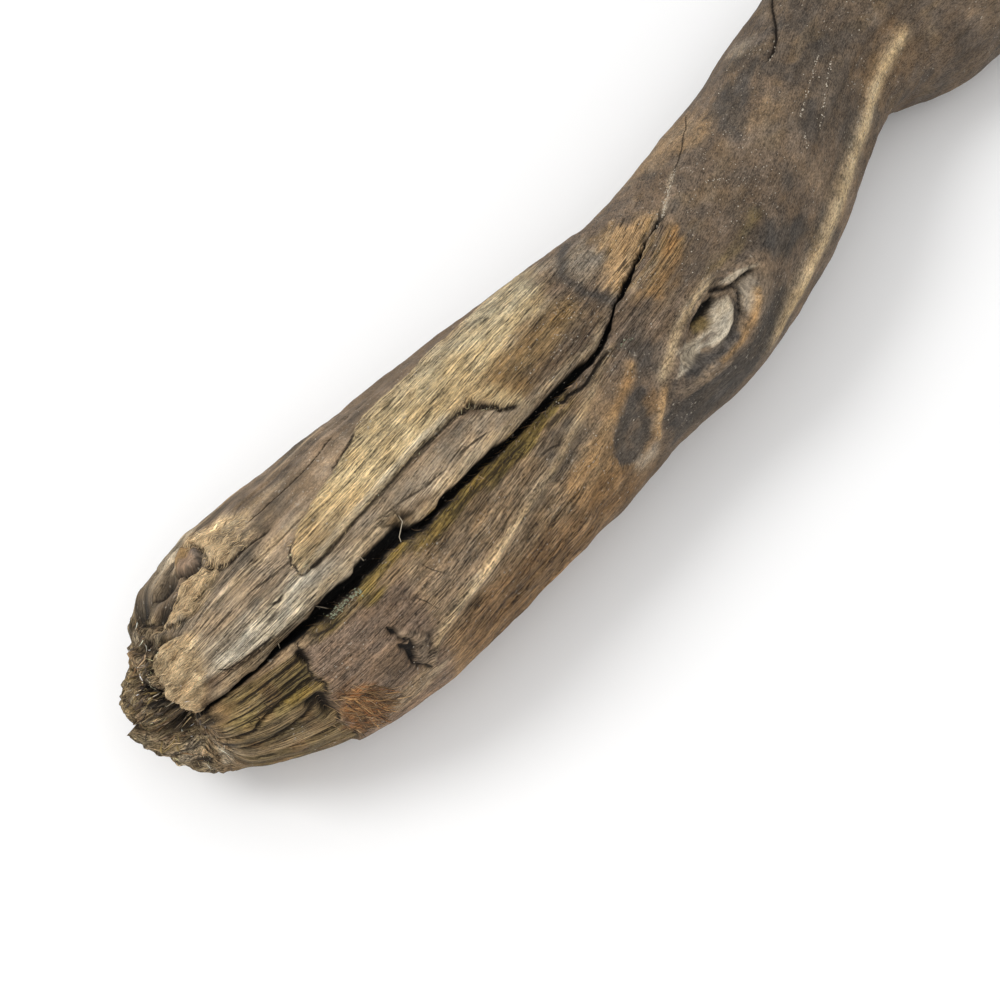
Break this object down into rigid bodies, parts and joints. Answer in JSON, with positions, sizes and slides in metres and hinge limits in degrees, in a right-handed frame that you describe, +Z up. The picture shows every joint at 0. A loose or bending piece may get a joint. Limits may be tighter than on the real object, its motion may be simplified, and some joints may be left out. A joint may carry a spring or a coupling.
{
  "type": "driftwood",
  "caption": "Weathered length of branch with a knee, a long drying crack, a knot in its flank and one rotted end, worn flat enough underneath to lie still.",
  "frame": {"origin": "middle of the footprint, on the surface that the wood lies on", "axes": "+X runs along the wood from the rotted end to the broken end, +Y towards the outside of the knee, +Z is up"},
  "size_m": [0.4566, 0.1114, 0.0741],
  "materials": {
    "driftwood": "bleached, salt worn and rough, with open grain"
  },
  "bodies": {
    "root": {"driftwood": "driftwood"}
  },
  "joints": []
}
